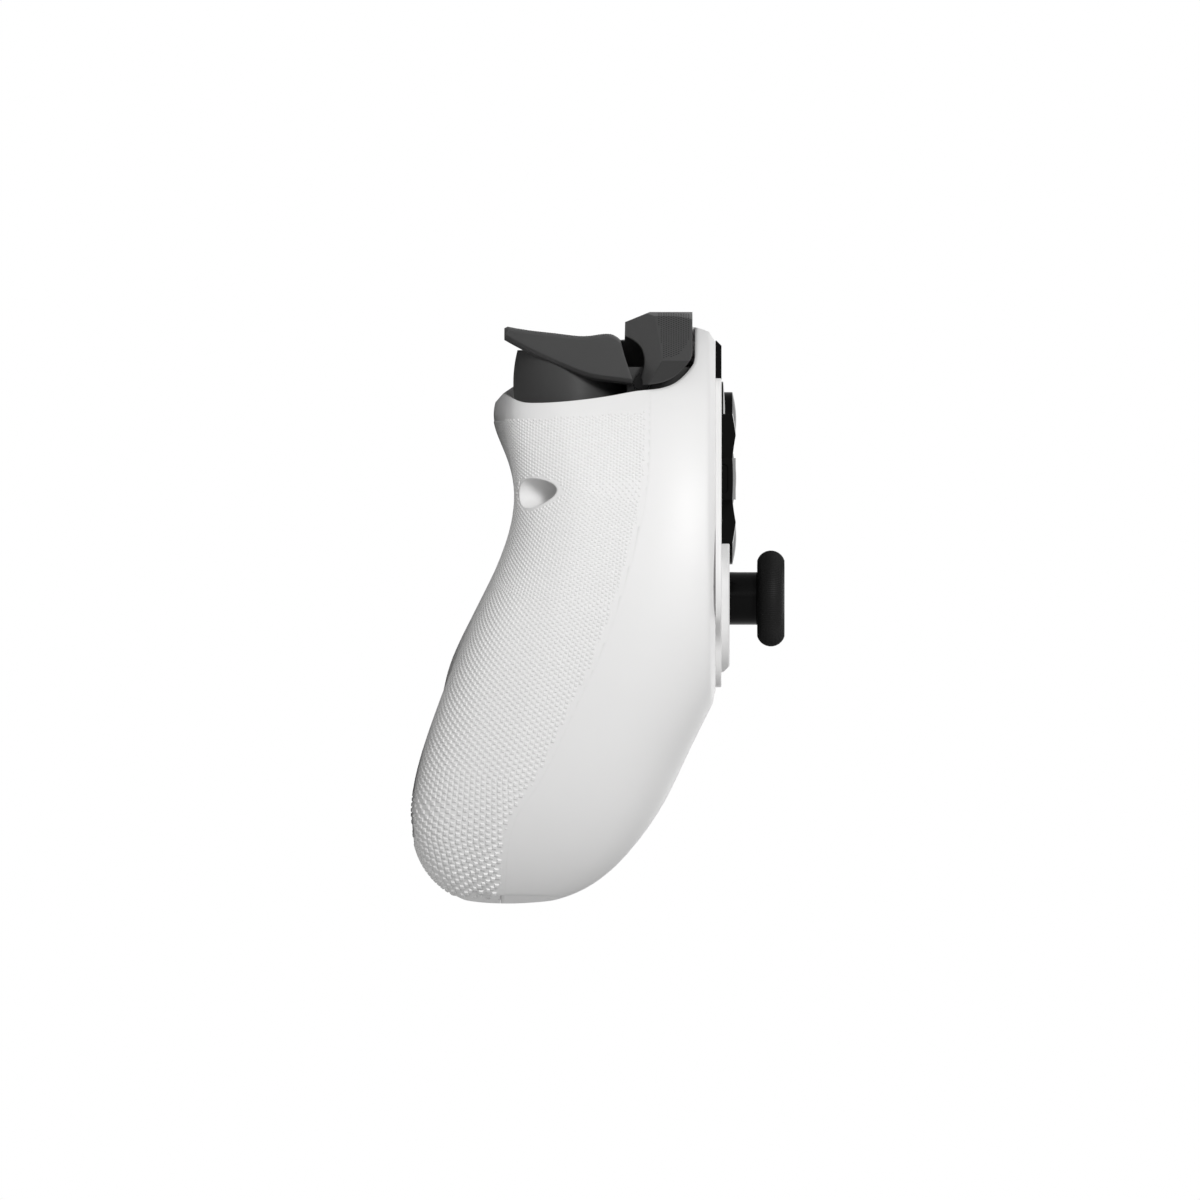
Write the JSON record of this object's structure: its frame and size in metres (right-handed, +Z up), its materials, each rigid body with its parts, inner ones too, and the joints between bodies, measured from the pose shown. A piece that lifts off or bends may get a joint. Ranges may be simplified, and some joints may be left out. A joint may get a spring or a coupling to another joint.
{
  "type": "gamepad",
  "caption": "Full-size two-stick gamepad with cross pad, four round face keys, bumpers, pull triggers and two grips.",
  "frame": {"origin": "middle of the footprint, on the surface that the pad lies on with its face up", "axes": "+Z up, out of the face; +X to the player's right; +Y towards the triggers"},
  "size_m": [0.1582, 0.1104, 0.0597],
  "materials": {
    "white_shell": "fine matt white",
    "grained_shell": "white with a raised diamond grain",
    "white_plate": "satin white",
    "gloss_black": "polished black",
    "cap_rubber": "matt ribbed",
    "ring": "smooth",
    "black_plastic": "moulded",
    "steel": "plain",
    "board": "solder mask",
    "membrane": "soft",
    "battery_wrap": "foil wrap",
    "light": "frosted"
  },
  "bodies": {
    "pad": {"audio_jack": "black_plastic", "battery": "battery_wrap", "board_screws": "steel", "bumper_pin_left": "steel", "bumper_pin_right": "steel", "bumper_switches": "black_plastic", "center_panel": "gloss_black", "dpad_membrane": "membrane", "face_membrane": "membrane", "front_shell": "white_shell", "left_face_plate": "white_plate", "main_board": "board", "motor_left": "steel", "motor_right": "steel", "rear_shell": "grained_shell", "right_face_plate": "white_plate", "shell_screws": "steel", "status_light_guide": "light", "stick_bridge": "white_shell", "stick_module_left": "black_plastic", "stick_module_right": "black_plastic", "stick_ring_left": "ring", "stick_ring_right": "ring", "trigger_bracket_left": "black_plastic", "trigger_bracket_right": "black_plastic", "trigger_shaft_left": "steel", "trigger_shaft_right": "steel", "usb_socket": "steel"},
    "dpad_pivot": {"dpad_pivot": "black_plastic"},
    "dpad": {"dpad": "gloss_black"},
    "button_top": {"button_top": "gloss_black"},
    "button_bottom": {"button_bottom": "gloss_black"},
    "button_left": {"button_left": "gloss_black"},
    "button_right": {"button_right": "gloss_black"},
    "home_button": {"home_button": "gloss_black"},
    "view_button": {"view_button": "gloss_black"},
    "menu_button": {"menu_button": "gloss_black"},
    "share_button": {"share_button": "gloss_black"},
    "trigger_right": {"trigger_right": "gloss_black", "trigger_spring_right": "steel"},
    "bumper_right": {"bumper_right": "gloss_black"},
    "stick_yoke_right": {"stick_yoke_right": "steel"},
    "stick_lever_right": {"stick_lever_right": "black_plastic"},
    "stick_right": {"stick_post_right": "gloss_black", "stick_cap_right": "cap_rubber"},
    "motor_weight_right": {"motor_weight_right": "steel"},
    "trigger_left": {"trigger_left": "gloss_black", "trigger_spring_left": "steel"},
    "bumper_left": {"bumper_left": "gloss_black"},
    "stick_yoke_left": {"stick_yoke_left": "steel"},
    "stick_lever_left": {"stick_lever_left": "black_plastic"},
    "stick_left": {"stick_post_left": "gloss_black", "stick_cap_left": "cap_rubber"},
    "motor_weight_left": {"motor_weight_left": "steel"}
  },
  "joints": [
    {"name": "trigger_right_pull", "type": "hinge", "parent": "pad", "child": "trigger_right", "pos_m": [0.042, 0.04115, 0.02641], "axis": [-1, 0, 0], "range_deg": [0, 16], "stiffness_Nm_per_rad": 0.05, "springref_deg": -17.19},
    {"name": "bumper_right_press", "type": "hinge", "parent": "pad", "child": "bumper_right", "pos_m": [0.0228, 0.04692, 0.02949], "axis": [0, -0.1857, -0.9826], "range_deg": [0, 0.9], "stiffness_Nm_per_rad": 0.5, "springref_deg": -1.72},
    {"name": "stick_right_up_down", "type": "hinge", "parent": "pad", "child": "stick_yoke_right", "pos_m": [0.026, 0.00436, 0.03855], "axis": [1, 0, 0], "range_deg": [-13, 13], "stiffness_Nm_per_rad": 0.02},
    {"name": "stick_right_left_right", "type": "hinge", "parent": "stick_yoke_right", "child": "stick_lever_right", "pos_m": [0.026, 0.00436, 0.03855], "axis": [0, 0.9826, -0.1857], "range_deg": [-13, 13], "stiffness_Nm_per_rad": 0.02},
    {"name": "stick_right_click", "type": "slide", "parent": "stick_lever_right", "child": "stick_right", "axis": [0, -0.1857, -0.9826], "range_m": [0, 0.0005], "stiffness_N_per_m": 2000, "springref_m": -0.001},
    {"name": "motor_weight_right_spin", "type": "hinge", "parent": "pad", "child": "motor_weight_right", "pos_m": [0.06, -0.02963, 0.02564], "axis": [0, 0.9826, -0.1857], "continuous": true},
    {"name": "trigger_left_pull", "type": "hinge", "parent": "pad", "child": "trigger_left", "pos_m": [-0.042, 0.04115, 0.02641], "axis": [-1, 0, 0], "range_deg": [0, 16], "stiffness_Nm_per_rad": 0.05, "springref_deg": -17.19},
    {"name": "bumper_left_press", "type": "hinge", "parent": "pad", "child": "bumper_left", "pos_m": [-0.0228, 0.04692, 0.02949], "axis": [0, 0.1857, 0.9826], "range_deg": [0, 0.9], "stiffness_Nm_per_rad": 0.5, "springref_deg": -1.72},
    {"name": "stick_left_up_down", "type": "hinge", "parent": "pad", "child": "stick_yoke_left", "pos_m": [-0.026, 0.00436, 0.03855], "axis": [1, 0, 0], "range_deg": [-13, 13], "stiffness_Nm_per_rad": 0.02},
    {"name": "stick_left_left_right", "type": "hinge", "parent": "stick_yoke_left", "child": "stick_lever_left", "pos_m": [-0.026, 0.00436, 0.03855], "axis": [0, 0.9826, -0.1857], "range_deg": [-13, 13], "stiffness_Nm_per_rad": 0.02},
    {"name": "stick_left_click", "type": "slide", "parent": "stick_lever_left", "child": "stick_left", "axis": [0, -0.1857, -0.9826], "range_m": [0, 0.0005], "stiffness_N_per_m": 2000, "springref_m": -0.001},
    {"name": "motor_weight_left_spin", "type": "hinge", "parent": "pad", "child": "motor_weight_left", "pos_m": [-0.06, -0.02963, 0.02564], "axis": [0, 0.9826, -0.1857], "continuous": true},
    {"name": "dpad_up_down", "type": "hinge", "parent": "pad", "child": "dpad_pivot", "pos_m": [-0.044, 0.02566, 0.03656], "axis": [1, 0, 0], "range_deg": [-3, 3], "stiffness_Nm_per_rad": 0.05},
    {"name": "dpad_left_right", "type": "hinge", "parent": "dpad_pivot", "child": "dpad", "pos_m": [-0.044, 0.02566, 0.03656], "axis": [0, 0.9826, -0.1857], "range_deg": [-3, 3], "stiffness_Nm_per_rad": 0.05},
    {"name": "button_top_press", "type": "slide", "parent": "pad", "child": "button_top", "axis": [0, -0.1857, -0.9826], "range_m": [0, 0.0015], "stiffness_N_per_m": 400, "springref_m": -0.001},
    {"name": "button_bottom_press", "type": "slide", "parent": "pad", "child": "button_bottom", "axis": [0, -0.1857, -0.9826], "range_m": [0, 0.0015], "stiffness_N_per_m": 400, "springref_m": -0.001},
    {"name": "button_left_press", "type": "slide", "parent": "pad", "child": "button_left", "axis": [0, -0.1857, -0.9826], "range_m": [0, 0.0015], "stiffness_N_per_m": 400, "springref_m": -0.001},
    {"name": "button_right_press", "type": "slide", "parent": "pad", "child": "button_right", "axis": [0, -0.1857, -0.9826], "range_m": [0, 0.0015], "stiffness_N_per_m": 400, "springref_m": -0.001},
    {"name": "home_button_press", "type": "slide", "parent": "pad", "child": "home_button", "axis": [0, -0.1857, -0.9826], "range_m": [0, 0.0006], "stiffness_N_per_m": 600, "springref_m": -0.001},
    {"name": "view_button_press", "type": "slide", "parent": "pad", "child": "view_button", "axis": [0, -0.1857, -0.9826], "range_m": [0, 0.0006], "stiffness_N_per_m": 600, "springref_m": -0.001},
    {"name": "menu_button_press", "type": "slide", "parent": "pad", "child": "menu_button", "axis": [0, -0.1857, -0.9826], "range_m": [0, 0.0006], "stiffness_N_per_m": 600, "springref_m": -0.001},
    {"name": "share_button_press", "type": "slide", "parent": "pad", "child": "share_button", "axis": [0, -0.1857, -0.9826], "range_m": [0, 0.0006], "stiffness_N_per_m": 600, "springref_m": -0.001}
  ]
}
